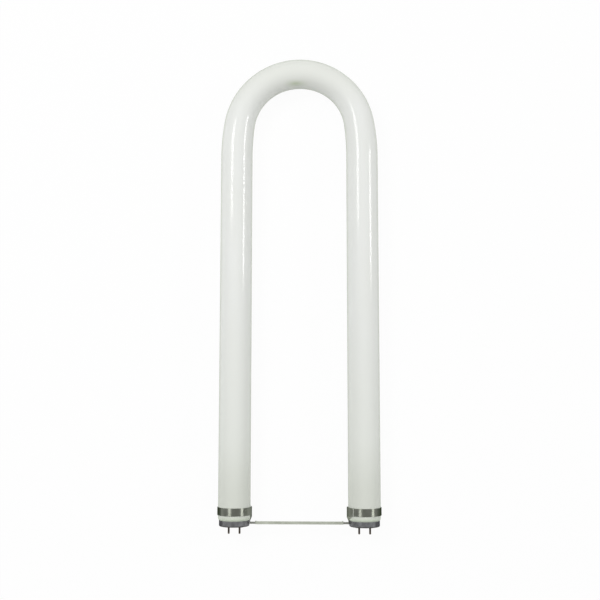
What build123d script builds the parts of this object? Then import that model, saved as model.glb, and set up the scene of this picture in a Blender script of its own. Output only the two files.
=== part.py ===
from build123d import *
import math
import os

# U-shaped fluorescent lamp, in millimetres. It lies flat on its clamp bands: X runs across the two legs,
# Y from the pin tips to the bend, Z up. The origin is at the middle of the footprint, on the surface below.

# Overall sizes
OVERALL_LENGTH = 571.5        # pin tips to the outside of the bend
LEG_SPACING = 152.4           # leg axis to leg axis
TUBE_DIAMETER = 38.1

# The bend: a gentle lead-in out of each straight leg, then one tight crown between them
LEAD_IN_RADIUS = 274.0        # of the centre line
LEAD_IN_TURN = 8.8            # degrees, of each lead-in
CROWN_THINNING = 1.5          # radius that the glass loses by the top of the bend
THINNING_REACH = 0.91         # share of the half bend over which it gets thinner
SHOULDER_THINNING = {"left": 0.15, "right": 0.55}   # more lost halfway up each side of the bend
SECTIONS_PER_HALF_BEND = 12
SMOOTH_ENTRY = 9.0            # straight length at each end that the bend's skin takes in, twice

# The cap on the end of each leg
CAP_STEP = 1.25               # how far the cap's wall lies inside the tube's outer surface
CAP_WALL = 0.3
CAP_HEIGHT = 6.9
CAP_CORNER = 1.2              # outer radius round the end face
CAP_MOUTH_CLEARANCE = 0.15    # between the cap's mouth and the glass
CEMENT_THICKNESS = 0.8        # between the cap's wall and the neck of the glass
CEMENT_SETBACK = 0.3          # of the cement's top below the cap's mouth
CEMENT_HEIGHT = 3.6

# The sealed end of the glass inside each cap
SHOULDER_ANGLE = 66.0         # degrees that the wall turns in at the cap's mouth
GLASS_END_CLEARANCE = 0.9     # between the end of the glass and the pin plate
RIM_THICKNESS = 2.2           # of the rolled rim where the inner stem is sealed on
FLARE_HEIGHT = 8.0            # of the stem's funnel
STEM_BORE_RADIUS = 7.0
STEM_DEPTH = 15.0             # from the end of the glass to the press that seals the wires
EXHAUST_RADIUS = 2.3          # stub of the tube through which the lamp was pumped out
EXHAUST_LENGTH = 12.0

# The insulating plate and its contact pins
PLATE_THICKNESS = 1.6
PLATE_CLEARANCE = 0.1         # between the plate's edge and the cap's inner corner
ISLAND_HEIGHT = 1.6           # the raised part that comes out through the end face
ISLAND_END_RADIUS = 4.4
ISLAND_CLEARANCE = 0.15
PIN_SPACING = 12.7
PIN_DIAMETER = 2.35
PIN_SHANK_DIAMETER = 1.9      # through the plate: the pin's shoulder stands on the island
PIN_LENGTH = 7.6              # outside the island
PIN_TIP_ROUNDING = 0.7
PIN_BORE_RADIUS = 0.65
PIN_CRIMP_LENGTH = 2.4        # of the closed end, pressed onto the wire
PIN_TIP_WALL = 0.6
PIN_FLANGE_RADIUS = 2.0
PIN_FLANGE_THICKNESS = 0.5

# The lead wires between the press and the pins
WIRE_DIAMETER = 0.5
WIRE_SEAL_OFFSET = 3.6        # from the leg axis, where a wire leaves the press
WIRE_BEND_RADIUS = 4.0
WIRE_STRAIGHT_IN_PIN = 2.5    # straight length past the pin's flange
WIRE_STRAIGHT_AT_SEAL = 3.0

# The clamp bands
BAND_WIDTH = 8.9
BAND_THICKNESS = 0.85
BAND_ABOVE_CAP = 6.1          # from the cap's mouth to the band's lower edge
LAP_FRONT_ANGLE = 49.0        # degrees that the strip's lapped end reaches round from the inner side
LAP_BACK_ANGLE = 12.0
LAP_RAMP_ANGLE = 12.0         # over which the strip steps up onto its own start
TAB_HEIGHT = 6.7
TAB_STRAIGHT = 2.4            # height of the tab before it starts to lean in
TAB_LEAN = 1.9                # how far the tab leans in under the shoulder
TAB_CORNER_INSET = 0.8        # of the tab's wide end from the end of the lap
NECK_WIDTH = 3.0              # of the tab where it narrows into its neck
NECK_HEIGHT = 1.5             # from the tab's lower end to the tongue's upper edge

# The spacer between the bands
TONGUE_WIDTH = 2.5
TONGUE_SHOW = 5.8             # length of tongue seen between the tab and the bar
TONGUE_LAP = 5.5              # length of tongue behind the bar
BAR_WIDTH = 3.4
BAR_THICKNESS = 1.0
BAR_RISE = 0.6                # of the bar's upper edge above the tongue's
EAR_WIDTH = 1.5               # of the ear at each end of the bar, folded over the tongue
EAR_DROP = 1.8                # how far the ear reaches down behind the tongue

# Sizes and places that follow
SIDES = {"left": -1, "right": 1}
tube_radius = TUBE_DIAMETER / 2
leg_x = LEG_SPACING / 2
axis_z = tube_radius + BAND_THICKNESS
tips_y = -OVERALL_LENGTH / 2
island_y = tips_y + PIN_LENGTH
cap_y = island_y + ISLAND_HEIGHT
mouth_y = cap_y + CAP_HEIGHT
cap_radius = tube_radius - CAP_STEP
cap_bore_radius = cap_radius - CAP_WALL
plate_low_y = cap_y + CAP_WALL
plate_high_y = plate_low_y + PLATE_THICKNESS
glass_end_y = plate_high_y + GLASS_END_CLEARANCE
seal_y = glass_end_y + STEM_DEPTH
neck_radius = cap_bore_radius - CEMENT_THICKNESS
pin_radius = PIN_DIAMETER / 2
pin_shank_radius = PIN_SHANK_DIAMETER / 2
wire_radius = WIRE_DIAMETER / 2
band_radius = tube_radius + BAND_THICKNESS
lap_radius = band_radius + BAND_THICKNESS
band_low_y = mouth_y + BAND_ABOVE_CAP
band_high_y = band_low_y + BAND_WIDTH
tab_bend_y = band_low_y - TAB_STRAIGHT
tab_low_y = band_low_y - TAB_HEIGHT
neck_outer_radius = lap_radius - TAB_LEAN
neck_inner_radius = band_radius - TAB_LEAN
half_tongue = BAND_THICKNESS / 2
tongue_high_y = tab_low_y - NECK_HEIGHT
tongue_low_y = tongue_high_y - TONGUE_WIDTH

# The glass turns in at the cap's mouth and turns back to the neck: two arcs of the same angle
shoulder_fall = 1 - math.cos(math.radians(SHOULDER_ANGLE))
shoulder_run = math.sin(math.radians(SHOULDER_ANGLE))
mouth_drop = CAP_STEP + CAP_WALL + CAP_MOUTH_CLEARANCE
shoulder_radius = mouth_drop / shoulder_fall
neck_arc_radius = (tube_radius - mouth_drop - neck_radius) / shoulder_fall
shoulder_y = mouth_y + shoulder_radius * shoulder_run
neck_y = mouth_y - neck_arc_radius * shoulder_run

# The bend's centre line
lead_in_turn = math.radians(LEAD_IN_TURN)
lead_in_x = LEAD_IN_RADIUS * (1 - math.cos(lead_in_turn))
crown_radius = (leg_x - lead_in_x) / math.cos(lead_in_turn)
crown_tube_radius = tube_radius - CROWN_THINNING
crown_center_y = OVERALL_LENGTH / 2 - crown_tube_radius - crown_radius
bend_y = crown_center_y + (crown_radius - LEAD_IN_RADIUS) * math.sin(lead_in_turn)
lead_in_length = LEAD_IN_RADIUS * lead_in_turn
half_bend_length = lead_in_length + crown_radius * (math.pi / 2 - lead_in_turn)


def ring(x, z, outer_radius, inner_radius, low_y, high_y):
    """A ring, or a disc with an inner radius of 0, round an axis along Y."""
    profile = Circle(outer_radius)
    if inner_radius > 0:
        profile -= Circle(inner_radius)
    plane = Plane(origin=(x, low_y, z), x_dir=(1, 0, 0), z_dir=(0, 1, 0))
    return extrude(plane * profile, high_y - low_y)


def block(low, high):
    """A box between two opposite corners."""
    size = [b - a for a, b in zip(low, high)]
    middle = [(a + b) / 2 for a, b in zip(low, high)]
    return Pos(*middle) * Box(*size)


def tube_radius_at(share, side):
    """The glass's outer radius at a share of the half bend, from 0 at the leg to 1 at the top."""
    reach = min(1, share / THINNING_REACH)
    thinned = CROWN_THINNING * reach * reach * (3 - 2 * reach)
    return tube_radius - thinned - SHOULDER_THINNING[side] * math.sin(math.pi * share) ** 2


def bend_section(share, side):
    """The bend's round section at a share of the half bend, square to the centre line."""
    length = share * half_bend_length
    if length < lead_in_length:
        turn = length / LEAD_IN_RADIUS
        x = leg_x - LEAD_IN_RADIUS * (1 - math.cos(turn))
        y = bend_y + LEAD_IN_RADIUS * math.sin(turn)
    else:
        turn = lead_in_turn + (length - lead_in_length) / crown_radius
        x = crown_radius * math.cos(turn)
        y = crown_center_y + crown_radius * math.sin(turn)
    sign = SIDES[side]
    tangent = (-math.sin(turn), sign * math.cos(turn), 0)
    plane = Plane(origin=(sign * x, y, axis_z), x_dir=(0, 0, 1), z_dir=tangent)
    return plane * Circle(tube_radius_at(share, side))


def leg_section(side, distance):
    """A section of the straight leg, a distance below the bend."""
    sign = SIDES[side]
    plane = Plane(origin=(sign * leg_x, bend_y - distance, axis_z), x_dir=(0, 0, 1), z_dir=(0, sign, 0))
    return plane * Circle(tube_radius)


def glass_leg(side):
    """A straight leg down to its sealed end: shoulder, neck, rolled rim, hollow stem and exhaust stub."""
    rim_radius = RIM_THICKNESS / 2
    rim_y = glass_end_y + rim_radius
    flare_y = rim_y + FLARE_HEIGHT
    stub_y = seal_y - EXHAUST_LENGTH
    mouth_radius = neck_radius - RIM_THICKNESS
    glass_mouth_radius = tube_radius - mouth_drop
    top_y = bend_y - 2 * SMOOTH_ENTRY
    half_turn = math.radians(SHOULDER_ANGLE) / 2
    shoulder_mid = (tube_radius - shoulder_radius * (1 - math.cos(half_turn)),
                    shoulder_y - shoulder_radius * math.sin(half_turn))
    neck_mid = (neck_radius + neck_arc_radius * (1 - math.cos(half_turn)),
                neck_y + neck_arc_radius * math.sin(half_turn))
    stub_mid = (EXHAUST_RADIUS * math.sqrt(0.5), stub_y + EXHAUST_RADIUS * (1 - math.sqrt(0.5)))
    outline = [
        Line((0, top_y), (tube_radius, top_y)),
        Line((tube_radius, top_y), (tube_radius, shoulder_y)),
        ThreePointArc((tube_radius, shoulder_y), shoulder_mid, (glass_mouth_radius, mouth_y)),
        ThreePointArc((glass_mouth_radius, mouth_y), neck_mid, (neck_radius, neck_y)),
        Line((neck_radius, neck_y), (neck_radius, rim_y)),
        ThreePointArc((neck_radius, rim_y), (neck_radius - rim_radius, glass_end_y), (mouth_radius, rim_y)),
        Line((mouth_radius, rim_y), (STEM_BORE_RADIUS, flare_y)),
        Line((STEM_BORE_RADIUS, flare_y), (STEM_BORE_RADIUS, seal_y)),
        Line((STEM_BORE_RADIUS, seal_y), (EXHAUST_RADIUS, seal_y)),
        Line((EXHAUST_RADIUS, seal_y), (EXHAUST_RADIUS, stub_y + EXHAUST_RADIUS)),
        ThreePointArc((EXHAUST_RADIUS, stub_y + EXHAUST_RADIUS), stub_mid, (0, stub_y)),
        Line((0, stub_y), (0, top_y)),
    ]
    leg = revolve(make_face(Curve() + outline), Axis.Y, 360)
    return Pos(SIDES[side] * leg_x, 0, axis_z) * leg


def glass_tube():
    """The sealed glass: two legs and the bend between them."""
    shares = [i / SECTIONS_PER_HALF_BEND for i in range(SECTIONS_PER_HALF_BEND + 1)]
    sections = [leg_section("right", 2 * SMOOTH_ENTRY), leg_section("right", SMOOTH_ENTRY)]
    sections += [bend_section(share, "right") for share in shares]
    sections += [bend_section(share, "left") for share in reversed(shares[:-1])]
    sections += [leg_section("left", SMOOTH_ENTRY), leg_section("left", 2 * SMOOTH_ENTRY)]
    bend = loft(sections)
    return bend + glass_leg("left") + glass_leg("right")


def end_cap(x):
    """A drawn aluminium cap: thin wall, rounded end and the long opening for the plate's island."""
    shell = ring(x, axis_z, cap_radius, 0, cap_y, mouth_y)
    shell = fillet(shell.edges().group_by(Axis.Y)[0], CAP_CORNER)
    hollow = ring(x, axis_z, cap_bore_radius, 0, cap_y + CAP_WALL, mouth_y)
    hollow = fillet(hollow.edges().group_by(Axis.Y)[0], CAP_CORNER - CAP_WALL)
    return shell - hollow - island(x, ISLAND_CLEARANCE, cap_y - CAP_WALL, plate_low_y)


def island(x, clearance, low_y, high_y):
    """The long raised part of the plate, with a round end about each pin."""
    profile = SlotCenterToCenter(PIN_SPACING, 2 * (ISLAND_END_RADIUS + clearance))
    plane = Plane(origin=(x, low_y, axis_z), x_dir=(1, 0, 0), z_dir=(0, 1, 0))
    return extrude(plane * profile, high_y - low_y)


def pin_plate(x):
    """The insulating disc that lies in the cap, with its island and two pin holes."""
    plate_radius = cap_radius - CAP_CORNER - PLATE_CLEARANCE
    plate = ring(x, axis_z, plate_radius, 0, plate_low_y, plate_high_y)
    plate += island(x, 0, island_y, plate_low_y)
    for step in (-0.5, 0.5):
        plate -= ring(x + step * PIN_SPACING, axis_z, pin_shank_radius, 0, island_y, plate_high_y)
    return plate


def contact_pin(x):
    """A hollow brass pin: rounded tip, closed end pressed onto the wire, shank and flange in the plate."""
    pin = ring(x, axis_z, pin_radius, 0, tips_y, island_y)
    pin = fillet(pin.edges().group_by(Axis.Y)[0], PIN_TIP_ROUNDING)
    pin += ring(x, axis_z, pin_shank_radius, 0, island_y, plate_high_y)
    flange_y = plate_high_y + PIN_FLANGE_THICKNESS
    pin += ring(x, axis_z, PIN_FLANGE_RADIUS, 0, plate_high_y, flange_y)
    pin -= ring(x, axis_z, PIN_BORE_RADIUS, 0, tips_y + PIN_TIP_WALL + PIN_CRIMP_LENGTH, flange_y)
    return pin - ring(x, axis_z, wire_radius, 0, tips_y + PIN_TIP_WALL, flange_y)


def lead_wire(axis_x, pin_x):
    """The wire from a pin's closed end to the glass press."""
    seal_x = axis_x + math.copysign(WIRE_SEAL_OFFSET, pin_x - axis_x)
    bottom_y = tips_y + PIN_TIP_WALL
    leave_y = plate_high_y + PIN_FLANGE_THICKNESS + WIRE_STRAIGHT_IN_PIN
    points = [
        (pin_x, bottom_y, axis_z),
        (pin_x, leave_y, axis_z),
        (seal_x, seal_y - WIRE_STRAIGHT_AT_SEAL, axis_z),
        (seal_x, seal_y, axis_z),
    ]
    path = FilletPolyline(*points, radius=WIRE_BEND_RADIUS)
    start = Plane(origin=points[0], x_dir=(0, 0, 1), z_dir=(0, 1, 0))
    return sweep(start * Circle(wire_radius), path=path)


def cement_ring(x, glass):
    """The cement that fills the space between the cap's wall and the glass."""
    high_y = mouth_y - CEMENT_SETBACK
    rim_middle_radius = neck_radius - RIM_THICKNESS / 2
    filled = ring(x, axis_z, cap_bore_radius, rim_middle_radius, high_y - CEMENT_HEIGHT, high_y)
    return filled - glass


def polar(radius, degrees):
    """A point in the plane across a leg, at an angle round from the side that faces the other leg."""
    angle = math.radians(degrees)
    return (-radius * math.cos(angle), radius * math.sin(angle))


def band_strip():
    """The steel strip round a leg on the Y axis, its end lapped over its start."""
    lap_front = polar(lap_radius, LAP_FRONT_ANGLE)
    lap_back = polar(lap_radius, -LAP_BACK_ANGLE)
    ramp_foot = polar(band_radius, -LAP_BACK_ANGLE - LAP_RAMP_ANGLE)
    step_foot = polar(band_radius, LAP_FRONT_ANGLE)
    outline = [
        ThreePointArc(lap_front, polar(lap_radius, 0), lap_back),
        Line(lap_back, ramp_foot),
        ThreePointArc(ramp_foot, polar(band_radius, 180), step_foot),
        Line(step_foot, lap_front),
    ]
    profile = make_face(Curve() + outline) - Circle(tube_radius)
    plane = Plane(origin=(0, band_high_y, 0), x_dir=(1, 0, 0), z_dir=(0, -1, 0))
    return extrude(plane * profile, BAND_WIDTH)


def band_tab():
    """The tab below the lap: it leans in under the shoulder and narrows to an upright neck."""
    section = Polyline(
        (-band_radius, band_low_y), (-lap_radius, band_low_y), (-lap_radius, tab_bend_y),
        (-neck_outer_radius, tab_low_y), (-neck_outer_radius, tongue_low_y),
        (-neck_inner_radius, tongue_low_y), (-neck_inner_radius, tab_low_y),
        (-band_radius, tab_bend_y), close=True)
    sheet = revolve(make_face(section), Axis.Y, 360)
    corner_z = band_radius * math.sin(math.radians(LAP_FRONT_ANGLE)) - TAB_CORNER_INSET
    neck_z = NECK_WIDTH - half_tongue
    outline = Polyline(
        (-half_tongue, band_low_y), (corner_z, band_low_y),
        (neck_z, tab_low_y), (neck_z, tongue_low_y), (-half_tongue, tongue_low_y), close=True)
    plane = Plane(origin=(0, 0, 0), x_dir=(0, 0, 1), z_dir=(-1, 0, 0))
    return sheet & extrude(plane * make_face(outline), lap_radius)


def clamp_band(side):
    """A clamp band: lapped strip, tab, and the tongue bent from the tab towards the other leg."""
    sheet_middle = (neck_outer_radius + neck_inner_radius) / 2
    tongue = block((-neck_outer_radius - TONGUE_SHOW - TONGUE_LAP, tongue_low_y, -half_tongue),
                   (-sheet_middle, tongue_high_y, half_tongue))
    band = band_strip() + band_tab() + tongue
    turn = 180 if side == "left" else 0
    return Pos(SIDES[side] * leg_x, 0, axis_z) * Rot(0, turn, 0) * band


def spacer_bar():
    """The bar in front of both tongues, with an ear at each end folded over a tongue."""
    half_length = leg_x - neck_outer_radius - TONGUE_SHOW
    front_z = axis_z + half_tongue
    back_z = axis_z - half_tongue
    bar_high_y = tongue_high_y + BAR_RISE
    bar = block((-half_length, bar_high_y - BAR_WIDTH, front_z),
                (half_length, bar_high_y, front_z + BAR_THICKNESS))
    for sign in (-1, 1):
        low_x, high_x = sorted((sign * half_length, sign * (half_length - EAR_WIDTH)))
        ear_top_y = tongue_high_y + BAR_THICKNESS
        bar += block((low_x, tongue_high_y, back_z - BAR_THICKNESS),
                     (high_x, ear_top_y, front_z + BAR_THICKNESS))
        bar += block((low_x, tongue_high_y - EAR_DROP, back_z - BAR_THICKNESS),
                     (high_x, tongue_high_y, back_z))
    return bar


pieces = {"glass_tube": glass_tube(), "spacer_bar": spacer_bar()}
for side, sign in SIDES.items():
    axis_x = sign * leg_x
    pieces[f"{side}_end_cap"] = end_cap(axis_x)
    pieces[f"{side}_basing_cement"] = cement_ring(axis_x, pieces["glass_tube"])
    pieces[f"{side}_pin_plate"] = pin_plate(axis_x)
    pieces[f"{side}_clamp_band"] = clamp_band(side)
    for place, step in {"inner": -0.5, "outer": 0.5}.items():
        pin_x = axis_x + sign * step * PIN_SPACING
        pieces[f"{side}_{place}_pin"] = contact_pin(pin_x)
        pieces[f"{side}_{place}_lead_wire"] = lead_wire(axis_x, pin_x)

os.makedirs("parts", exist_ok=True)
for name, piece in pieces.items():
    export_step(piece, f"parts/{name}.step")
    box = piece.bounding_box()
    low = [round(v, 2) for v in box.min]
    high = [round(v, 2) for v in box.max]
    print(name, "volume", round(piece.volume, 1), "low", low, "high", high)
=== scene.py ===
# %% [markdown]
# # A U-shaped fluorescent lamp
#
# The lamp is one long glass tube bent into a U. Each leg ends in a metal cap with two contact pins, and a
# steel bar between two clamp bands keeps the legs apart. Its parts are already modelled to their real
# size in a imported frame. This lesson gives them their looks: a smooth glass tube, bevelled steelwork, a
# finish for every piece, and then the floor, the lamps and the camera of a small photo studio.

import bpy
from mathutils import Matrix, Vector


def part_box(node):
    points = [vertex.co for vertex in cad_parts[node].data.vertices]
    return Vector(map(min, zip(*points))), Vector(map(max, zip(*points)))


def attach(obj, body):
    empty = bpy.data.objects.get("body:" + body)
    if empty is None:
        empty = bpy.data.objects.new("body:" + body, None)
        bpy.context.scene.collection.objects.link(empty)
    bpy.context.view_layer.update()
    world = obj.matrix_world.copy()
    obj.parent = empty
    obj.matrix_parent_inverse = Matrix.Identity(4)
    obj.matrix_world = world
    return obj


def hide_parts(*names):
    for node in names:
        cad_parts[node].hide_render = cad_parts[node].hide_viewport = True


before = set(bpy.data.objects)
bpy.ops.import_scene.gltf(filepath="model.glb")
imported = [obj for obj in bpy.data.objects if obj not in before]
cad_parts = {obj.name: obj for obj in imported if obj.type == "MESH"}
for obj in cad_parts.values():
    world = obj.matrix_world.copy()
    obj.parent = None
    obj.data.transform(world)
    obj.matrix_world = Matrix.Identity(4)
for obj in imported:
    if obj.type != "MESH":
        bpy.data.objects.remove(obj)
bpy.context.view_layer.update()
print("packed parts:", len(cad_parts))

# %% [markdown]
# ## Measure before modelling
#
# Everything is in metres: X runs across the two legs, Y from the pin tips to the bend, and Z up from the
# surface that the lamp lies on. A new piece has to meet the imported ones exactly, so its place is measured
# from their boxes and isn't typed in. Only sizes that no box shows are written down, in millimetres.

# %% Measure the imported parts
import math

import bmesh
import bpy
from mathutils import Matrix, Vector

MM = 0.001
glass_low, glass_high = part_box("glass_tube")
cap_low, cap_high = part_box("right_end_cap")
band_low, band_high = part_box("right_clamp_band")

axis_z = (glass_low.z + glass_high.z) / 2
tube_radius = (glass_high.z - glass_low.z) / 2
leg_x = (cap_low.x + cap_high.x) / 2
cap_radius = (cap_high.x - cap_low.x) / 2
print("legs at x = +-", round(leg_x, 5), "tube radius", round(tube_radius, 5),
      "axis height", round(axis_z, 5))

# %% [markdown]
# ## The bend's centre line
#
# A bender heats the straight tube and draws it round a form. The legs turn in gently at first, on a large
# radius, and then the crown goes round on a small one. The glass stretches there, so the tube gets
# thinner towards the top, and a little more so on the right shoulder. A share of 0 is the end of a
# straight leg and a share of 1 is the top of the bend.

# %% The bend's centre line
LEAD_IN_RADIUS = 274.0 * MM
LEAD_IN_TURN = math.radians(8.8)
CROWN_THINNING = 1.5 * MM
THINNING_REACH = 0.91             # the share at which the tube is as thin as it gets
SHOULDER_THINNING = {"left": 0.15 * MM, "right": 0.55 * MM}

crown_radius = (leg_x - LEAD_IN_RADIUS * (1 - math.cos(LEAD_IN_TURN))) / math.cos(LEAD_IN_TURN)
crown_center_y = glass_high.y - (tube_radius - CROWN_THINNING) - crown_radius
bend_y = crown_center_y + (crown_radius - LEAD_IN_RADIUS) * math.sin(LEAD_IN_TURN)
lead_in_length = LEAD_IN_RADIUS * LEAD_IN_TURN
half_bend_length = lead_in_length + crown_radius * (math.pi / 2 - LEAD_IN_TURN)


def bend_place(share):
    """Centre x and y of the right half of the bend, and how far it has turned, at a share of the half."""
    length = share * half_bend_length
    if length < lead_in_length:
        turn = length / LEAD_IN_RADIUS
        x = leg_x - LEAD_IN_RADIUS * (1 - math.cos(turn))
        return x, bend_y + LEAD_IN_RADIUS * math.sin(turn), turn
    turn = LEAD_IN_TURN + (length - lead_in_length) / crown_radius
    return crown_radius * math.cos(turn), crown_center_y + crown_radius * math.sin(turn), turn


def bend_radius(share, side):
    """The glass's outer radius at a share of the half bend."""
    reach = min(1, share / THINNING_REACH)
    thinned = CROWN_THINNING * reach * reach * (3 - 2 * reach)
    return tube_radius - thinned - SHOULDER_THINNING[side] * math.sin(math.pi * share) ** 2


print("half bend", round(half_bend_length, 4), "m long, crown radius", round(crown_radius, 4))

# %% [markdown]
# ## The sealed end of a leg
#
# Inside the cap the tube turns in to a neck, rolls round a thick rim and runs back up as a hollow stem,
# whose flat press holds the wires. A short stub of the tube through which the lamp was pumped out hangs
# from it. All of it is round, so it is an outline of places along the leg, each with a radius.

# %% The sealed end of a leg
MOUTH_DROP = 1.7 * MM             # from the tube's outside to the glass at the cap's mouth
SHOULDER_ANGLE = math.radians(66)
NECK_INSET = 1.1 * MM             # of the neck from the outside of the cap
GLASS_END_ABOVE_CAP_END = 2.8 * MM
RIM_RADIUS = 1.1 * MM
FLARE_HEIGHT = 8.0 * MM
STEM_BORE_RADIUS = 7.0 * MM
STEM_DEPTH = 15.0 * MM
STUB_RADIUS = 2.3 * MM
STUB_LENGTH = 12.0 * MM
FIRST_RING_ANGLE = 85             # degrees round the stub's tip, which would be a point at 90
ARC_STEPS = 8

mouth_y = cap_high.y
neck_radius = cap_radius - NECK_INSET
shoulder_arc = MOUTH_DROP / (1 - math.cos(SHOULDER_ANGLE))
neck_arc = (tube_radius - MOUTH_DROP - neck_radius) / (1 - math.cos(SHOULDER_ANGLE))
shoulder_y = mouth_y + shoulder_arc * math.sin(SHOULDER_ANGLE)
neck_y = mouth_y - neck_arc * math.sin(SHOULDER_ANGLE)
glass_end_y = cap_low.y + GLASS_END_ABOVE_CAP_END
rim_y = glass_end_y + RIM_RADIUS
seal_y = glass_end_y + STEM_DEPTH
stub_y = seal_y - STUB_LENGTH


def arc(center_y, center_radius, radius, start, end):
    """Places (y, radius) along an arc. At angle 0 it lies outermost, and at 90 degrees lowest."""
    angles = [math.radians(start + (end - start) * i / ARC_STEPS) for i in range(ARC_STEPS + 1)]
    return [(center_y - radius * math.sin(a), center_radius + radius * math.cos(a)) for a in angles]


turn_in = math.degrees(SHOULDER_ANGLE)
leg_end = arc(stub_y + STUB_RADIUS, 0, STUB_RADIUS, FIRST_RING_ANGLE, 0)
leg_end += [(seal_y, STUB_RADIUS), (seal_y, STEM_BORE_RADIUS)]
leg_end += [(glass_end_y + FLARE_HEIGHT, STEM_BORE_RADIUS)]
leg_end += arc(rim_y, neck_radius - RIM_RADIUS, RIM_RADIUS, 180, 0)
leg_end += arc(neck_y, neck_radius + neck_arc, -neck_arc, 0, -turn_in)
leg_end += arc(shoulder_y, tube_radius - shoulder_arc, shoulder_arc, turn_in, 0)[1:]
print("rings in a leg's end:", len(leg_end))

# %% [markdown]
# ## Helpers for the meshes
#
# The tube, the bands and the bar are all made the same way: a bmesh starts from one simple shape and
# grows by extruding it. One helper sorts what an operator has made, one extrudes a ring of edges, and one
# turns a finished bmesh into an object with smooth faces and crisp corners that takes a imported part's
# place.

# %% Helpers for the meshes
CRISP_ANGLE = math.radians(35)
MERGE_DISTANCE = 0.0005 * MM


def of_kind(geometry, kind):
    """The vertices, edges or faces in an operator's result."""
    return [part for part in geometry if isinstance(part, kind)]


def extrude_ring(bm, ring):
    """Extrude a ring of edges and return the new ring and its vertices, still in the old place."""
    made = bmesh.ops.extrude_edge_only(bm, edges=ring)["geom"]
    verts = of_kind(made, bmesh.types.BMVert)
    new_verts = set(verts)
    edges = of_kind(made, bmesh.types.BMEdge)
    return [edge for edge in edges if new_verts.issuperset(edge.verts)], verts


def finish_piece(name, bm, replaced):
    """Make a piece from a bmesh: normals outwards, faces smooth, corners sharp, riding on the lamp."""
    bmesh.ops.remove_doubles(bm, verts=bm.verts, dist=MERGE_DISTANCE)
    bmesh.ops.recalc_face_normals(bm, faces=bm.faces)
    open_edges = sum(not edge.is_manifold for edge in bm.edges)
    mesh = bpy.data.meshes.new(name)
    bm.to_mesh(mesh)
    bm.free()
    mesh.shade_smooth()
    mesh.set_sharp_from_angle(angle=CRISP_ANGLE)
    piece = bpy.data.objects.new(name, mesh)
    bpy.context.scene.collection.objects.link(piece)
    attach(piece, "root")
    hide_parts(replaced)
    print(name, "faces", len(mesh.polygons), "open edges", open_edges)
    return piece


# %% [markdown]
# ## The glass tube
#
# One circle makes the whole tube. It starts at the pump stub in the right leg and is extruded from place
# to place: down the stem, round the rim, up the leg, round the bend and down the left leg, moved, turned
# and scaled each time. That keeps every ring square to the centre line, with no twist, and lets the
# radius change where the glass was stretched. A mirrored half couldn't do that, because the two shoulders
# differ.

# %% Build the glass tube
TUBE_SIDES = 96
LEG_STEPS = 12
BEND_STEPS = 32


def leg_matrix(y, sign):
    """A ring's matrix on a straight leg. On the left leg it has turned half round."""
    turn = Matrix.Rotation(0 if sign > 0 else math.pi, 4, "Z")
    return Matrix.Translation((sign * leg_x, y, axis_z)) @ turn


def tube_rings():
    """Every ring of the tube in order: its matrix, with Y along the tube, and its radius."""
    leg_ys = [shoulder_y + (bend_y - shoulder_y) * i / LEG_STEPS for i in range(1, LEG_STEPS)]
    leg = leg_end + [(y, tube_radius) for y in leg_ys]
    rings = [(leg_matrix(y, 1), radius) for y, radius in leg]
    shares = [i / BEND_STEPS for i in range(BEND_STEPS + 1)]
    for share in shares:
        x, y, turn = bend_place(share)
        rings.append((Matrix.Translation((x, y, axis_z)) @ Matrix.Rotation(turn, 4, "Z"),
                      bend_radius(share, "right")))
    for share in reversed(shares[:-1]):
        x, y, turn = bend_place(share)
        rings.append((Matrix.Translation((-x, y, axis_z)) @ Matrix.Rotation(math.pi - turn, 4, "Z"),
                      bend_radius(share, "left")))
    return rings + [(leg_matrix(y, -1), radius) for y, radius in reversed(leg)]


def build_tube(rings):
    """Extrude one circle through all the rings, with a cap on each end."""
    bm = bmesh.new()
    matrix, radius = rings[0]
    upright = Matrix.Rotation(math.pi / 2, 4, "X")
    bmesh.ops.create_circle(bm, cap_ends=False, radius=radius, segments=TUBE_SIDES,
                            matrix=matrix @ upright)
    ring = bm.edges[:]
    bmesh.ops.contextual_create(bm, geom=ring)
    for next_matrix, next_radius in rings[1:]:
        ring, verts = extrude_ring(bm, ring)
        bmesh.ops.transform(bm, matrix=next_matrix @ matrix.inverted(), verts=verts)
        growth = next_radius / radius
        bmesh.ops.scale(bm, vec=(growth, growth, growth), verts=verts,
                        space=Matrix.Translation(-next_matrix.translation))
        matrix, radius = next_matrix, next_radius
    bmesh.ops.contextual_create(bm, geom=ring)
    return bm


glass = finish_piece("glass_envelope", build_tube(tube_rings()), "glass_tube")

# %% [markdown]
# ## Helpers for the nodes
#
# A finish is a material made of nodes, and an effect that several finishes share is a group of nodes.
# Every node is made alike: it is added to a tree, and each of its inputs gets a value or a link from
# another node. So one helper fills inputs and another adds a node. The third starts a group, whose inputs
# have names and values to begin with, and which puts out one number.

# %% Helpers for the nodes


def fill_inputs(tree, node, inputs):
    """Fill a node's inputs, with a link where the value is another node's output."""
    for name, value in inputs.items():
        if isinstance(value, bpy.types.NodeSocket):
            tree.links.new(value, node.inputs[name])
        else:
            node.inputs[name].default_value = value


def add_node(tree, kind, inputs):
    """Add a node and fill its inputs."""
    node = tree.nodes.new(kind)
    fill_inputs(tree, node, inputs)
    return node


def new_group(name, sockets):
    """A node group with the listed inputs and one output called Value, and both its ends inside."""
    group = bpy.data.node_groups.new(name, "ShaderNodeTree")
    for socket_name, kind, value in sockets:
        socket = group.interface.new_socket(socket_name, in_out="INPUT", socket_type=kind)
        socket.default_value = value
    group.interface.new_socket("Value", in_out="OUTPUT", socket_type="NodeSocketFloat")
    return group, group.nodes.new("NodeGroupInput").outputs, group.nodes.new("NodeGroupOutput").inputs


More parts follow.
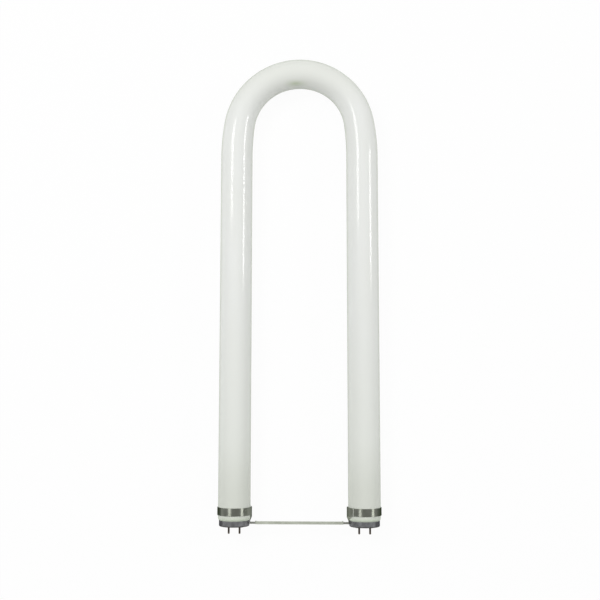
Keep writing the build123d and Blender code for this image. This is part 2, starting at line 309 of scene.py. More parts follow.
# %% [markdown]
# ## Two shared effects
#
# Nothing on a used lamp is the same all over, and two effects give that variety everywhere, so each is a
# node group. Cloudy patches are soft noise: wide ones are stains and tarnish, and the same noise
# stretched along one direction gives the fine lines that rolling and drawing leave in metal. The second
# effect changes slowly from one place to another. Along the lamp it greys the glass towards its ends,
# partly as painted shade, and darkens the caps towards their lower rims, and from the top down it puts
# painted shade low on the sides of the bands and caps. Both read Object coordinates, the metres of this
# scene, so a scratch is as wide on a pin as it is on the bar.

# %% Build the shared effects
NOISE_LOW, NOISE_HIGH = 0.33, 0.67       # nearly all of the noise lies between these


def cloudy_patches():
    """Soft noise between a low and a high value, with so many patches a metre along X, Y and Z."""
    group, given, out = new_group("cloudy_patches", [
        ("Patches a Metre", "NodeSocketVector", (100.0, 100.0, 100.0)),
        ("Low", "NodeSocketFloat", 0.0),
        ("High", "NodeSocketFloat", 1.0)])
    place = group.nodes.new("ShaderNodeTexCoord").outputs["Object"]
    spread = add_node(group, "ShaderNodeMapping", {"Vector": place, "Scale": given["Patches a Metre"]})
    noise = add_node(group, "ShaderNodeTexNoise",
                     {"Vector": spread.outputs["Vector"], "Scale": 1.0, "Detail": 4.0, "Roughness": 0.55})
    value = add_node(group, "ShaderNodeMapRange",
                     {"Value": noise.outputs[0], "From Min": NOISE_LOW, "From Max": NOISE_HIGH,
                      "To Min": given["Low"], "To Max": given["High"]})
    group.links.new(value.outputs[0], out["Value"])
    return group


def slow_change():
    """Rises smoothly from 0 to 1 between two places in metres, along the lamp or along another axis."""
    group, given, out = new_group("slow_change", [
        ("Axis", "NodeSocketVector", (0.0, 1.0, 0.0)),
        ("Start", "NodeSocketFloat", 0.0),
        ("End", "NodeSocketFloat", 1.0)])
    place = group.nodes.new("ShaderNodeTexCoord").outputs["Object"]
    distance = add_node(group, "ShaderNodeVectorMath", {0: place, 1: given["Axis"]})
    distance.operation = "DOT_PRODUCT"
    value = add_node(group, "ShaderNodeMapRange",
                     {"Value": distance.outputs["Value"],
                      "From Min": given["Start"], "From Max": given["End"]})
    value.interpolation_type = "SMOOTHSTEP"
    group.links.new(value.outputs[0], out["Value"])
    return group


patches = cloudy_patches()
change = slow_change()
print("shared effects:", [group.name for group in (patches, change)])

# %% [markdown]
# ## Helpers for the finishes
#
# Each finish starts from the Principled shader. Its colour is mixed in steps: a first colour, then the
# next one where an effect says so, and so on, as layers of dirt and wear lie over each other on the real
# lamp. The helpers start a finish, place an effect in it, and mix two colours.

# %% Helpers for the finishes
MIX_FIRST, MIX_SECOND, MIX_RESULT = 6, 7, 2      # the places of a Mix node's colour sockets


def new_finish(name):
    """A new material, its node tree and its Principled shader."""
    material = bpy.data.materials.new(name)
    material.use_nodes = True
    return material, material.node_tree, material.node_tree.nodes["Principled BSDF"]


def add_effect(tree, group, inputs):
    """Place a shared effect in a material and return its output."""
    node = tree.nodes.new("ShaderNodeGroup")
    node.node_tree = group
    fill_inputs(tree, node, inputs)
    return node.outputs["Value"]


def mix_colors(tree, share, first, second):
    """Mix two colours by a share. A colour is three numbers or the output of another node."""
    mix = tree.nodes.new("ShaderNodeMix")
    mix.data_type = "RGBA"
    colors = [color if isinstance(color, bpy.types.NodeSocket) else (*color, 1.0)
              for color in (first, second)]
    fill_inputs(tree, mix, {"Factor": share, MIX_FIRST: colors[0], MIX_SECOND: colors[1]})
    return mix.outputs[MIX_RESULT]


# %% [markdown]
# ## Powder behind glass
#
# The white isn't the glass but a powder on its inside. A matt base stands for the powder, and the
# shader's coat stands for the smooth, glossy glass over it. The powder is a little cloudy, and it changes
# along the lamp: it is thinner where the crown was stretched, it has greyed towards the ends, where the
# cathodes are, and it is burnt beside the caps. That darkening towards the ends is partly the tube's own
# and partly painted shade, where the light falls off. Inside the top of the bend one place is painted a
# darker green: mostly painted shade where the glass curves down, and partly powder that the bender
# pressed together. Towards its outline the glass is painted darker and greener, a painted shade and
# painted dark reflection where it is seen side on, so that colour follows Layer Weight.

# %% Finish the glass
CLOUDS_A_METRE = (40.0, 12.0, 40.0)
FRESH_POWDER = (0.83, 0.84, 0.82)
THIN_POWDER = (0.81, 0.82, 0.79)
BURNT_HEIGHT = 11 * MM                   # above the lower edge of a band's tongue
# The last three colours darken the powder towards the ends: partly the tube's own darkening, partly painted
# shade where the light falls off.
CHANGED_POWDER = (                       # a colour, and between which places along the lamp it comes in
    ((0.788, 0.80, 0.757), 0.21, 0.27),                         # stretched at the crown
    ((0.78, 0.80, 0.75), 0.05, -0.28),                          # aged
    ((0.70, 0.72, 0.66), -0.17, -0.245),                        # greyed by a cathode
    ((0.61, 0.67, 0.55), band_low.y + BURNT_HEIGHT, mouth_y))   # burnt beside a cap
# Mostly painted shade inside the top of the bend, partly powder pressed together there.
PRESSED_POWDER_AND_SHADE = (0.53, 0.60, 0.44)
PRESSED_AND_SHADE_PLACE = (-4 * MM, 253 * MM, 30 * MM)
PRESSED_AND_SHADE_SIZE = (20 * MM, 6 * MM, 10 * MM)
# Painted shade and painted dark reflection towards the glass's outline.
EDGE_SHADE_GREEN = (0.60, 0.65, 0.55)
EDGE_START, EDGE_FULL = 0.45, 0.95       # 0 where the glass faces the viewer, 1 where it is seen side on
GLASS_TINT = (0.97, 0.98, 0.965, 1.0)    # what the clear glass does to the light that crosses it

glass_finish, tree, shader = new_finish("powder_behind_glass")
cloud = add_effect(tree, patches, {"Patches a Metre": CLOUDS_A_METRE})
powder = mix_colors(tree, cloud, FRESH_POWDER, THIN_POWDER)
for changed, start, end in CHANGED_POWDER:
    powder = mix_colors(tree, add_effect(tree, change, {"Start": start, "End": end}), powder, changed)

# A greenish dark patch inside the top of the bend: mostly painted shade where the glass curves down, partly
# pressed powder.
place = tree.nodes.new("ShaderNodeTexCoord").outputs["Object"]
around = add_node(tree, "ShaderNodeMapping",
                  {"Vector": place, "Location": PRESSED_AND_SHADE_PLACE, "Scale": PRESSED_AND_SHADE_SIZE})
around.vector_type = "TEXTURE"
pressed_and_shade = add_node(tree, "ShaderNodeTexGradient", {"Vector": around.outputs["Vector"]})
pressed_and_shade.gradient_type = "QUADRATIC_SPHERE"
powder = mix_colors(tree, pressed_and_shade.outputs["Fac"], powder, PRESSED_POWDER_AND_SHADE)

# Painted shade and painted dark reflection: the powder is mixed towards a darker green where the glass is
# seen side on.
facing = add_node(tree, "ShaderNodeLayerWeight", {"Blend": 0.5})
edge = add_node(tree, "ShaderNodeMapRange",
                {"Value": facing.outputs["Facing"], "From Min": EDGE_START, "From Max": EDGE_FULL})
edge.interpolation_type = "SMOOTHSTEP"
powder = mix_colors(tree, edge.outputs[0], powder, EDGE_SHADE_GREEN)
fill_inputs(tree, shader, {"Base Color": powder, "Roughness": 0.65, "Specular IOR Level": 0.2,
                           "Coat Weight": 0.38, "Coat Roughness": 0.1, "Coat IOR": 1.5,
                           "Coat Tint": GLASS_TINT})
glass.data.materials.append(glass_finish)
print("glass finish:", glass_finish.name)

# %% [markdown]
# ## The clamp bands
#
# Each band is one steel strip wrapped round the leg. It starts under its own lapped end, steps up onto
# itself over a short ramp and stops on the side that faces the other leg. The strip's section is extruded
# round the leg ring by ring, as the tube is, because a spin alone couldn't climb the ramp. Angles are in
# degrees from the inner side, which faces the other leg, upwards over the top.

# %% Wrap the strip round the leg
BAND_WIDTH = 8.9 * MM
BAND_THICKNESS = 0.85 * MM
STRIP_START, STRIP_END = -9.0, 409.0
RAMP_START, RAMP_END = 336.0, 348.0
TAB_START, TONGUE_TOP, TAB_END = 358.7, 371.5, 403.0
STRIP_STEP = 4.0


def round_leg(degrees):
    """Turn something on the leg's inner side, at -X, round the leg's axis towards the top."""
    return Matrix.Rotation(math.radians(degrees), 3, "Y")


def climb(angle):
    """How far the strip has stepped up onto itself at an angle."""
    share = (angle - RAMP_START) / (RAMP_END - RAMP_START)
    return BAND_THICKNESS * min(1, max(0, share))


def strip_angles():
    """The strip's ring angles, evenly spaced between the places that matter."""
    marks = [STRIP_START, RAMP_START, RAMP_END, TAB_START, TONGUE_TOP, TAB_END, STRIP_END]
    angles = [STRIP_START]
    for low, high in zip(marks, marks[1:]):
        steps = math.ceil((high - low) / STRIP_STEP)
        angles += [low + (high - low) * (i + 1) / steps for i in range(steps)]
    return angles


def build_strip():
    """The strip round a leg that lies on the Y axis. Its lapped end is marked as a bare cut edge."""
    bm = bmesh.new()
    bare_edge = bm.faces.layers.float.new("bare_edge")
    middle = Matrix.Translation((-tube_radius - BAND_THICKNESS / 2, band_high.y - BAND_WIDTH / 2, 0))
    section = Matrix.Diagonal((BAND_THICKNESS, BAND_WIDTH, 1, 1))
    bmesh.ops.create_grid(bm, x_segments=1, y_segments=1, size=0.5, matrix=middle @ section)
    bmesh.ops.rotate(bm, verts=bm.verts, matrix=round_leg(STRIP_START))
    bmesh.ops.delete(bm, geom=bm.faces[:], context="FACES_ONLY")
    ring = bm.edges[:]
    bmesh.ops.contextual_create(bm, geom=ring)
    angles = strip_angles()
    for angle, next_angle in zip(angles, angles[1:]):
        ring, verts = extrude_ring(bm, ring)
        bmesh.ops.rotate(bm, verts=verts, matrix=round_leg(next_angle - angle))
        outwards = round_leg(next_angle) @ Vector((-1, 0, 0))
        bmesh.ops.translate(bm, verts=verts, vec=outwards * (climb(next_angle) - climb(angle)))
    bmesh.ops.contextual_create(bm, geom=ring)["faces"][0][bare_edge] = 1.0
    bmesh.ops.recalc_face_normals(bm, faces=bm.faces)
    return bm


print("rings in a strip:", len(strip_angles()))

# %% [markdown]
# ## Growing more sheet metal
#
# Tabs and folds are parts of the same sheet, so they are extruded out of its edges. One helper finds the
# faces that look in a direction and lie within a box, and the other extrudes them.

# %% Helpers for the sheet metal
FACING_LIMIT = 0.8                # the least cosine between a face's normal and the direction
NEAR = MM / 10                    # how far round a place its faces are looked for


def faces_facing(bm, direction, low, high):
    """The faces that look in a direction and whose middle lies between two corners."""
    bm.normal_update()
    found = []
    for face in bm.faces:
        middle = face.calc_center_median()
        inside = all(a <= value <= b for a, value, b in zip(low, middle, high))
        if inside and face.normal.dot(Vector(direction)) > FACING_LIMIT:
            found.append(face)
    return found


def extrude_faces(bm, faces):
    """Extrude faces and return the new vertices. The old faces would stay inside, so they are deleted."""
    made = bmesh.ops.extrude_face_region(bm, geom=faces)["geom"]
    bmesh.ops.delete(bm, geom=faces, context="FACES")
    return of_kind(made, bmesh.types.BMVert)


# %% [markdown]
# ## Tab, neck and tongue
#
# Under the lap a tab leans in below the glass's shoulder, narrows to a neck and turns into a flat tongue
# that reaches for the bar. They are cut and bent from the strip's own sheet, so they are extruded out of
# its lower edge: the tab in two steps, then the neck, and the tongue out of the neck's inner side.

# %% Bend the tab, neck and tongue
TAB_HEIGHT = 6.7 * MM
TAB_STRAIGHT = 2.4 * MM           # height of the tab before it leans in
TAB_LEAN = 1.9 * MM
NECK_SHARE = 0.2                  # of the tab's angle that is left at its neck
TONGUE_WIDTH = 2.5 * MM
DOWN_THE_LEG = (0, -1, 0)
INWARDS = (-1, 0, 0)              # towards the other leg

tongue_reach = leg_x - band_low.x
tongue_high_y = band_low.y + TONGUE_WIDTH
strip_low_y = band_high.y - BAND_WIDTH
tab_bend_y = strip_low_y - TAB_STRAIGHT
tab_low_y = strip_low_y - TAB_HEIGHT


def is_on_lap(face):
    """Whether a face belongs to the strip's lapped end and lies where the tab starts."""
    middle = face.calc_center_median()
    angle = math.degrees(math.atan2(middle.z, -middle.x)) + 360
    return math.hypot(middle.x, middle.z) > tube_radius + BAND_THICKNESS and TAB_START < angle < TAB_END


def place_tab(verts, y, lean, share):
    """Move the tab's corners down the leg, in towards its axis and together towards the neck."""
    first = TAB_START - 360
    for vert in verts:
        angle = math.degrees(math.atan2(vert.co.z, -vert.co.x))
        radius = math.hypot(vert.co.x, vert.co.z) - lean
        place = round_leg(first + (angle - first) * share) @ Vector((-radius, 0, 0))
        vert.co = (place.x, y, place.z)


def low_faces(bm, y):
    """The faces at a place along the leg that look down it, on its inner side."""
    return faces_facing(bm, DOWN_THE_LEG, (-1, y - NEAR, -1), (0, y + NEAR, 1))


def add_tab(bm):
    """Extrude the tab from the lap's lower edge, then the neck, then the tongue out of the neck."""
    lap_faces = [face for face in low_faces(bm, strip_low_y) if is_on_lap(face)]
    width_at_bend = 1 - (1 - NECK_SHARE) * TAB_STRAIGHT / TAB_HEIGHT
    place_tab(extrude_faces(bm, lap_faces), tab_bend_y, 0, width_at_bend)
    place_tab(extrude_faces(bm, low_faces(bm, tab_bend_y)),
              tab_low_y, TAB_LEAN, NECK_SHARE / width_at_bend)
    for start_y, end_y in ((tab_low_y, tongue_high_y), (tongue_high_y, band_low.y)):
        for vert in extrude_faces(bm, low_faces(bm, start_y)):
            vert.co.y = end_y
    tongue_half = BAND_THICKNESS / 2 + NEAR
    root = faces_facing(bm, INWARDS, (-1, band_low.y, -tongue_half), (0, tongue_high_y, tongue_half))
    for vert in extrude_faces(bm, root):
        vert.co.x = -tongue_reach


print("tab", round(TAB_HEIGHT / MM, 2), "mm high, tongue out to", round(tongue_reach / MM, 2), "mm")

# %% [markdown]
# ## Both bands
#
# The left band is the same piece turned half round its leg, which is why it shows only its edge in the
# photograph. The sheet was sheared, and the fine roundings of its edges catch the light, so a bevel
# rounds them. A UV map says which way the leg runs, because the shader can't know the way of the rolling
# lines.

# %% Make both bands
SHEARED_EDGE = 0.12 * MM


def round_edges(piece, width):
    """Round the sharp edges with a live bevel."""
    bevel = piece.modifiers.new("rounded edges", "BEVEL")
    bevel.width = width
    bevel.segments = 2
    bevel.limit_method = "ANGLE"
    bevel.angle_limit = CRISP_ANGLE
    bevel.harden_normals = True


def map_along_leg(bm):
    """A UV map whose U runs along the leg, across the strip's rolling lines."""
    layer = bm.loops.layers.uv.new("along_leg")
    for face in bm.faces:
        for loop in face.loops:
            place = loop.vert.co
            loop[layer].uv = (place.y / BAND_WIDTH, math.atan2(place.z, -place.x))


def clamp_band(side, sign):
    """The clamp band of one leg."""
    bm = build_strip()
    add_tab(bm)
    map_along_leg(bm)
    half_turn = Matrix.Rotation(0 if sign > 0 else math.pi, 4, "Y")
    on_leg = Matrix.Translation((sign * leg_x, 0, axis_z)) @ half_turn
    bmesh.ops.transform(bm, matrix=on_leg, verts=bm.verts)
    band = finish_piece(f"{side}_band", bm, f"{side}_clamp_band")
    round_edges(band, SHEARED_EDGE)
    return band


bands = [clamp_band(side, sign) for side, sign in (("left", -1), ("right", 1))]

# %% [markdown]
# ## The spacer bar
#
# A flat strip lies in front of both tongues and is a little wider than they are. At each end an ear is
# folded over the tongue and down behind it, which keeps the bar from sliding off. It starts as a box that
# is cut where the ears begin, and each fold is one more extrusion of the ear.

# %% Build the spacer bar
BAR_THICKNESS = 1.0 * MM
BAR_RISE = 0.6 * MM               # of the bar's upper edge above the tongue's
EAR_WIDTH = 1.5 * MM
EAR_DROP = 1.8 * MM
FOLD_EDGE = 0.25 * MM

bar_low, bar_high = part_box("spacer_bar")


def grow(bm, direction, low, high, distance):
    """Extrude the faces that look in a direction, within a box, by a distance."""
    verts = extrude_faces(bm, faces_facing(bm, direction, low, high))
    bmesh.ops.translate(bm, verts=verts, vec=Vector(direction) * distance)


def build_bar():
    """The bar with an ear folded over each tongue."""
    front_z = bar_high.z - BAR_THICKNESS
    fold_y = bar_high.y - BAR_THICKNESS
    low = Vector((bar_low.x, bar_low.y, front_z))
    high = Vector((bar_high.x, fold_y + BAR_RISE, bar_high.z))
    bm = bmesh.new()
    placed = Matrix.Translation((low + high) / 2) @ Matrix.Diagonal((*(high - low), 1))
    bmesh.ops.create_cube(bm, size=1, matrix=placed)
    ear_x = bar_high.x - EAR_WIDTH
    across, lengthwise = (1, 0, 0), (0, 1, 0)
    for place, normal in (((-ear_x, 0, 0), across), ((ear_x, 0, 0), across), ((0, fold_y, 0), lengthwise)):
        whole = bm.verts[:] + bm.edges[:] + bm.faces[:]
        bmesh.ops.bisect_plane(bm, geom=whole, plane_co=place, plane_no=normal)
    for sign in (-1, 1):
        ear_low_x, ear_high_x = sorted((sign * bar_high.x, sign * ear_x))
        above = ((ear_low_x, fold_y, -1), (ear_high_x, 1, 1))
        grow(bm, (0, 1, 0), *above, BAR_THICKNESS - BAR_RISE)
        grow(bm, (0, 0, -1), *above, front_z - bar_low.z - BAR_THICKNESS)
        grow(bm, (0, 0, -1), *above, BAR_THICKNESS)
        behind = ((ear_low_x, fold_y - NEAR, -1), (ear_high_x, 1, bar_low.z + BAR_THICKNESS))
        grow(bm, (0, -1, 0), *behind, EAR_DROP)
    return bm


bar = finish_piece("cross_bar", build_bar(), "spacer_bar")
round_edges(bar, FOLD_EDGE)

# %% [markdown]
# ## A recipe for metal
#
# Bands, bar, caps, pins and wires are five metals with one recipe: two shades in patches, and fine lines
# that change the gloss and dent the surface a little. Rolled strip has its lines round the leg and a
# drawn cap has them along it, so each metal gives the number of lines a metre along X, Y and Z. The bar
# is finished first. It is zinc plated, and old zinc grows a dull white bloom, so patches of it are less
# metallic.

# %% The recipe, and the bar's finish
LINE_STRENGTH = 0.3
LINE_DEPTH = 0.02 * MM


def metal_finish(name, clean, stained, patch_size, lines, roughness):
    """A metal in two shades, with lines in its gloss. Returns its colour too, for more to be mixed in."""
    material, tree, shader = new_finish(name)
    stain = add_effect(tree, patches, {"Patches a Metre": (1 / patch_size,) * 3})
    color = mix_colors(tree, stain, clean, stained)
    low, high = roughness
    gloss = add_effect(tree, patches, {"Patches a Metre": lines, "Low": low, "High": high})
    bump = add_node(tree, "ShaderNodeBump",
                    {"Height": gloss, "Strength": LINE_STRENGTH, "Distance": LINE_DEPTH})
    fill_inputs(tree, shader, {"Base Color": color, "Metallic": 1.0, "Roughness": gloss,
                               "Normal": bump.outputs["Normal"]})
    return material, tree, shader, color


BLOOM_PATCHES = (150.0, 400.0, 400.0)
BLOOM_METALLIC = {"Low": 0.25, "High": 0.55}     # where the bloom is thick and where it is thin

bar_finish, tree, shader, color = metal_finish(
    "plated_bar_steel", clean=(0.61, 0.64, 0.55), stained=(0.51, 0.54, 0.45), patch_size=7 * MM,
    lines=(60.0, 1500.0, 900.0), roughness=(0.42, 0.58))
bloom = add_effect(tree, patches, {"Patches a Metre": BLOOM_PATCHES, **BLOOM_METALLIC})
fill_inputs(tree, shader, {"Metallic": bloom})
bar.data.materials.append(bar_finish)
print("bar finish:", bar_finish.name)

# %% [markdown]
# ## Painted shade on the sides
#
# The bands and the caps are painted darker low on their sides, a painted shade, though less so on the
# side between the legs. Both are rings round a leg, so one helper darkens either: by height over the
# leg's axis, less between the legs, and only on the ring and not on the tab that hangs from it.

# %% Helpers for painted side shade
UNSHADED_ABOVE, SHADED_BELOW = 0.84, 0.66     # heights over a leg's axis, as shares of the ring's radius
INNER_SHADE = 0.6                     # between the legs, where it is 1 on the outer side
FADE_BELOW_RING = 2 * MM
UPWARDS = (0.0, 0.0, 1.0)


def calculate(tree, operation, first, second=0.0):
    """The result of a Math node. Each value is a number or the output of another node."""
    node = add_node(tree, "ShaderNodeMath", {0: first, 1: second})
    node.operation = operation
    return node.outputs[0]


def paint_side_shade(tree, radius, low_y, color, side_shade):
    """Mix in a painted shade low on the sides of a ring round a leg, but not on what hangs below low_y."""
    low_on_side = add_effect(tree, change, {"Axis": UPWARDS, "Start": axis_z + UNSHADED_ABOVE * radius,
                                            "End": axis_z + SHADED_BELOW * radius})
    on_ring = add_effect(tree, change, {"Start": low_y - FADE_BELOW_RING, "End": low_y})
    coordinates = tree.nodes.new("ShaderNodeTexCoord")
    place = add_node(tree, "ShaderNodeSeparateXYZ", {"Vector": coordinates.outputs["Object"]})
    from_middle = calculate(tree, "ABSOLUTE", place.outputs["X"])
    outer = add_node(tree, "ShaderNodeMapRange",
                     {"Value": from_middle, "From Min": leg_x - radius / 2, "From Max": leg_x + radius / 2,
                      "To Min": INNER_SHADE, "To Max": 1.0})
    share = calculate(tree, "MULTIPLY", low_on_side, on_ring)
    share = calculate(tree, "MULTIPLY", share, outer.outputs[0])
    return mix_colors(tree, share, color, side_shade)


# %% [markdown]
# ## The bands' steel
#
# Rolled steel mirrors in streaks across its rolling lines, so the bands are anisotropic, with the tangent
# from their UV map. Each tongue is painted lighter than its band, a painted sheen, and the lapped end
# shows a bare cut edge, painted nearly white, partly bare steel and partly a painted highlight. The shears
# left that edge too rough to mirror, so it is hardly metallic.

# %% Finish the bands
BAND_SIDE_SHADE = (0.105, 0.115, 0.095)
TONGUE_PAINTED_SHEEN = (0.78, 0.80, 0.70)
BARE_CUT_AND_HIGHLIGHT = (0.92, 0.94, 0.87)
BARE_METALLIC = 0.15
BAND_GRAZING_TINT = (0.3, 0.32, 0.28, 1.0)

band_radius = band_high.x - leg_x
band_finish, tree, shader, color = metal_finish(
    "rolled_band_steel", clean=(0.52, 0.54, 0.47), stained=(0.42, 0.44, 0.37), patch_size=6 * MM,
    lines=(60.0, 3000.0, 60.0), roughness=(0.36, 0.46))
# Painted shade low on the band's sides.
color = paint_side_shade(tree, band_radius, strip_low_y, color, BAND_SIDE_SHADE)
# Painted sheen: each tongue is mixed towards a lighter colour.
on_tongue = add_effect(tree, change, {"Start": tab_low_y, "End": tongue_high_y})
color = mix_colors(tree, on_tongue, color, TONGUE_PAINTED_SHEEN)
# The cut end is painted nearly white: partly bare steel, partly a painted highlight.
bare = add_node(tree, "ShaderNodeAttribute", {})
bare.attribute_name = "bare_edge"
color = mix_colors(tree, bare.outputs["Fac"], color, BARE_CUT_AND_HIGHLIGHT)
mirroring = add_node(tree, "ShaderNodeMapRange",
                     {"Value": bare.outputs["Fac"], "To Min": 1.0, "To Max": BARE_METALLIC})
leg_direction = tree.nodes.new("ShaderNodeTangent")
leg_direction.direction_type = "UV_MAP"
leg_direction.uv_map = "along_leg"
fill_inputs(tree, shader, {"Base Color": color, "Metallic": mirroring.outputs[0],
                           "Specular Tint": BAND_GRAZING_TINT,
                           "Anisotropic": 1.0, "Tangent": leg_direction.outputs["Tangent"]})
for band in bands:
    band.data.materials.append(band_finish)
print("band finish:", band_finish.name, "on", len(bands), "bands")

# %% [markdown]
# ## Caps
#
# Caps, pins, wires, plates and cement keep their imported shapes and only get better finishes. The caps are
# thin aluminium, drawn to shape and dulled by years of handling, with painted shade low on their sides, and
# they are darker towards the lower rim.

# %% Dress the caps
CAP_SIDE_SHADE = (0.10, 0.10, 0.105)
RIM_DARK_COLOR = (0.10, 0.095, 0.085)
RIM_DARK_START, RIM_DARK_FULL = 1.6 * MM, 0.4 * MM     # above the cap's lower rim
CAP_GRAZING_TINT = (0.4, 0.4, 0.42, 1.0)


def dress(ending, material):
    """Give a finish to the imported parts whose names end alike."""
    parts = [part for name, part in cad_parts.items() if name.endswith(ending)]
    for part in parts:
        part.material_slots[0].material = material
    print(material.name, "on", len(parts), "parts")


cap_finish, tree, shader, color = metal_finish(
    "drawn_cap_aluminium", clean=(0.47, 0.475, 0.49), stained=(0.33, 0.335, 0.345), patch_size=4 * MM,
    lines=(900.0, 60.0, 900.0), roughness=(0.28, 0.42))
# Painted shade low on the cap's sides.
color = paint_side_shade(tree, cap_radius, cap_low.y, color, CAP_SIDE_SHADE)
# Darker towards the cap's lower rim.
rim_dark = add_effect(tree, change, {"Start": cap_low.y + RIM_DARK_START, "End": cap_low.y + RIM_DARK_FULL})
color = mix_colors(tree, rim_dark, color, RIM_DARK_COLOR)
fill_inputs(tree, shader, {"Base Color": color, "Specular Tint": CAP_GRAZING_TINT})
dress("end_cap", cap_finish)

# %% [markdown]
# ## Pins and wires
#
# The pins are brass, tarnished nearly brown and brighter at the tips, where they slide into the holder.
# The lead wires behind them are nickel and stay clean inside the caps.

# %% Dress the pins and wires
WORN_BRASS = (0.20, 0.165, 0.12)
WORN_LENGTH = 4 * MM

pin_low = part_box("right_inner_pin")[0]
pin_finish, tree, shader, color = metal_finish(
    "tarnished_pin_brass", clean=(0.16, 0.135, 0.11), stained=(0.08, 0.065, 0.055), patch_size=2 * MM,
    lines=(400.0, 2500.0, 400.0), roughness=(0.28, 0.42))
worn = add_effect(tree, change, {"Start": pin_low.y + WORN_LENGTH, "End": pin_low.y})
fill_inputs(tree, shader, {"Base Color": mix_colors(tree, worn, color, WORN_BRASS)})
dress("_pin", pin_finish)

wire_finish = metal_finish(
    "nickel_lead_wire", clean=(0.60, 0.58, 0.55), stained=(0.46, 0.44, 0.41), patch_size=3 * MM,
    lines=(800.0, 300.0, 800.0), roughness=(0.25, 0.40))[0]
dress("lead_wire", wire_finish)

# %% [markdown]
# ## Plates and cement
#
# Two matt materials close the caps. The plates that hold the pins are pressed from dark resin board, and
# the cement that sticks cap to glass was baked until it foamed a little, so it gets coarse bumps and no
# gloss.

# %% Dress the plates and the cement
GRAIN_STRENGTH = 0.8
SHADE_GRAINS, GLOSS_GRAINS = 4, 2        # how many grains wide a patch of shade or of gloss is


def matt_finish(name, light, dark, grain, depth, roughness):
    """A matt material in two shades, with a grain of a size that stands up by a depth."""
    material, tree, shader = new_finish(name)
    grains = add_effect(tree, patches, {"Patches a Metre": (1 / grain,) * 3})
    shade = add_effect(tree, patches, {"Patches a Metre": (1 / grain / SHADE_GRAINS,) * 3})
    low, high = roughness
    gloss = add_effect(tree, patches, {"Patches a Metre": (1 / grain / GLOSS_GRAINS,) * 3,
                                       "Low": low, "High": high})
    bump = add_node(tree, "ShaderNodeBump",
                    {"Height": grains, "Strength": GRAIN_STRENGTH, "Distance": depth})
    fill_inputs(tree, shader, {"Base Color": mix_colors(tree, shade, light, dark), "Roughness": gloss,
                               "Normal": bump.outputs["Normal"]})
    return material


dress("pin_plate", matt_finish(
    "resin_board", light=(0.060, 0.047, 0.038), dark=(0.038, 0.030, 0.025),
    grain=0.7 * MM, depth=0.03 * MM, roughness=(0.42, 0.60)))
dress("basing_cement", matt_finish(
    "baked_cement", light=(0.50, 0.43, 0.33), dark=(0.36, 0.30, 0.22),
    grain=0.9 * MM, depth=0.20 * MM, roughness=(0.80, 0.95)))

# %% [markdown]
# ## The floor
#
# The picture has a white ground with hardly a shadow. The floor is matt white. For rays from the camera
# and for reflections most of it shines by itself at a strength of 1, which is white, so metal and glass
# show the same ground, and the rest is lit and keeps the shadow.

# %% Lay the floor
FLOOR_RADIUS = 8.0
FLOOR_SIDES = 64
FLOOR_WHITE = (0.85, 0.85, 0.85, 1.0)
SELF_LIT_SHARE = 0.95


def floor_material():
    """Matt white that mostly shines by itself for the camera, in reflections and through glass."""
    material = bpy.data.materials.new("floor_white")
    material.use_nodes = True
    tree = material.node_tree
    tree.nodes.clear()
    rays = tree.nodes.new("ShaderNodeLightPath").outputs
    shown = calculate(tree, "MAXIMUM", rays["Is Camera Ray"], rays["Is Glossy Ray"])
    shown = calculate(tree, "MAXIMUM", shown, rays["Is Transmission Ray"])
    share = calculate(tree, "MULTIPLY", shown, SELF_LIT_SHARE)
    matt = add_node(tree, "ShaderNodeBsdfDiffuse", {"Color": FLOOR_WHITE})
    shining = add_node(tree, "ShaderNodeEmission", {"Strength": 1.0})
    mix = add_node(tree, "ShaderNodeMixShader", {"Fac": share, 1: matt.outputs[0], 2: shining.outputs[0]})
    add_node(tree, "ShaderNodeOutputMaterial", {"Surface": mix.outputs[0]})
    return material


bm = bmesh.new()
bmesh.ops.create_circle(bm, cap_ends=True, radius=FLOOR_RADIUS, segments=FLOOR_SIDES)
floor_mesh = bpy.data.meshes.new("floor")
bm.to_mesh(floor_mesh)
bm.free()
floor = bpy.data.objects.new("floor", floor_mesh)
floor.data.materials.append(floor_material())
bpy.context.scene.collection.objects.link(floor)
print("floor radius", FLOOR_RADIUS, "m")

# %% [markdown]
# ## Light
#
# Each lamp is described by the direction that it comes from and how bright it looks, because that is what
# a polished surface shows: its size and brightness in the reflection stay the same wherever it stands. An
# area lamp's power follows from that brightness, its area and pi. Two long boxes make the streaks in the
# glass. A wide soft fill overhead is left out of reflections, so that it lights the object without
# washing out its gloss.

# %% Light the studio
WORLD_GREY = (0.31, 0.311, 0.313, 1.0)
BOX_AIM = (0, 0.1, 0)


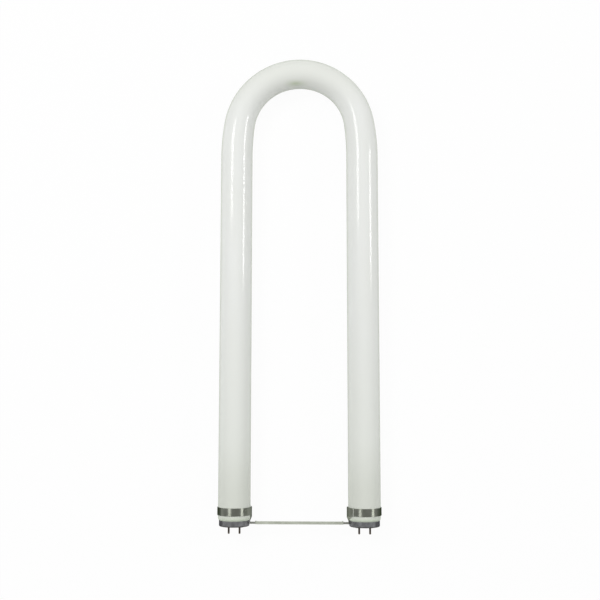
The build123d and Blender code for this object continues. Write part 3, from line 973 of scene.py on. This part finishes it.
def area_lamp(name, place, aim, width, length, brightness):
    """A rectangular lamp that looks equally bright from all over, with its length nearly along Y."""
    data = bpy.data.lights.new(name, "AREA")
    data.shape = "RECTANGLE"
    data.size = width
    data.size_y = length
    data.energy = brightness * math.pi * width * length
    lamp = bpy.data.objects.new(name, data)
    backwards = (Vector(place) - Vector(aim)).normalized()
    side = Vector((0, 1, 0)).cross(backwards).normalized()
    upwards = backwards.cross(side)
    turn = Matrix((side, upwards, backwards)).transposed().to_4x4()
    lamp.matrix_world = Matrix.Translation(place) @ turn
    bpy.context.scene.collection.objects.link(lamp)
    return lamp


world = bpy.data.worlds.new("studio")
world.use_nodes = True
world.node_tree.nodes["Background"].inputs["Color"].default_value = WORLD_GREY
bpy.context.scene.world = world
bpy.context.scene.view_settings.view_transform = "Standard"

area_lamp("left_box", place=(-0.905, 0.662, 1.54), aim=BOX_AIM, width=0.52, length=0.465, brightness=12.0)
area_lamp("right_box", place=(2.09, 0.60, 1.24), aim=BOX_AIM, width=0.50, length=0.54, brightness=17.0)
fill = area_lamp("fill", place=(-1.3, 0.3, 1.9), aim=(-1.3, 0.3, 0), width=5.0, length=4.0,
                 brightness=0.66)
fill.visible_glossy = False
print("lamps:", len(bpy.data.lights))

# %% [markdown]
# ## The camera
#
# The photograph looks almost straight down at the lamp from a little over a metre, so the legs draw
# together slightly towards the bend. The camera's place and tilt were worked out from that and from the
# lamp's known length. With no rotation Blender's camera looks straight down with +Y at the top of the
# picture, so two small turns are enough.

# %% Set up the camera
CAMERA_PLACE = (37.07 * MM, -128.34 * MM, 1110.61 * MM)
CAMERA_TILT = math.radians(6.13)      # forwards, towards the bend
CAMERA_SWING = math.radians(1.90)     # towards the left leg
SENSOR_WIDTH = 36.0                   # in millimetres, as the lens is
LENS = 54.95
NEAREST_SHOWN = 0.01

camera_data = bpy.data.cameras.new("camera")
camera_data.sensor_width = SENSOR_WIDTH
camera_data.lens = LENS
camera_data.clip_start = NEAREST_SHOWN
camera = bpy.data.objects.new("camera", camera_data)
camera.rotation_mode = "ZXY"
camera.rotation_euler = (CAMERA_TILT, CAMERA_SWING, 0.0)
camera.location = CAMERA_PLACE
bpy.context.scene.collection.objects.link(camera)
bpy.context.scene.camera = camera
print("camera height", round(CAMERA_PLACE[2], 4), "m, lens", LENS, "mm")
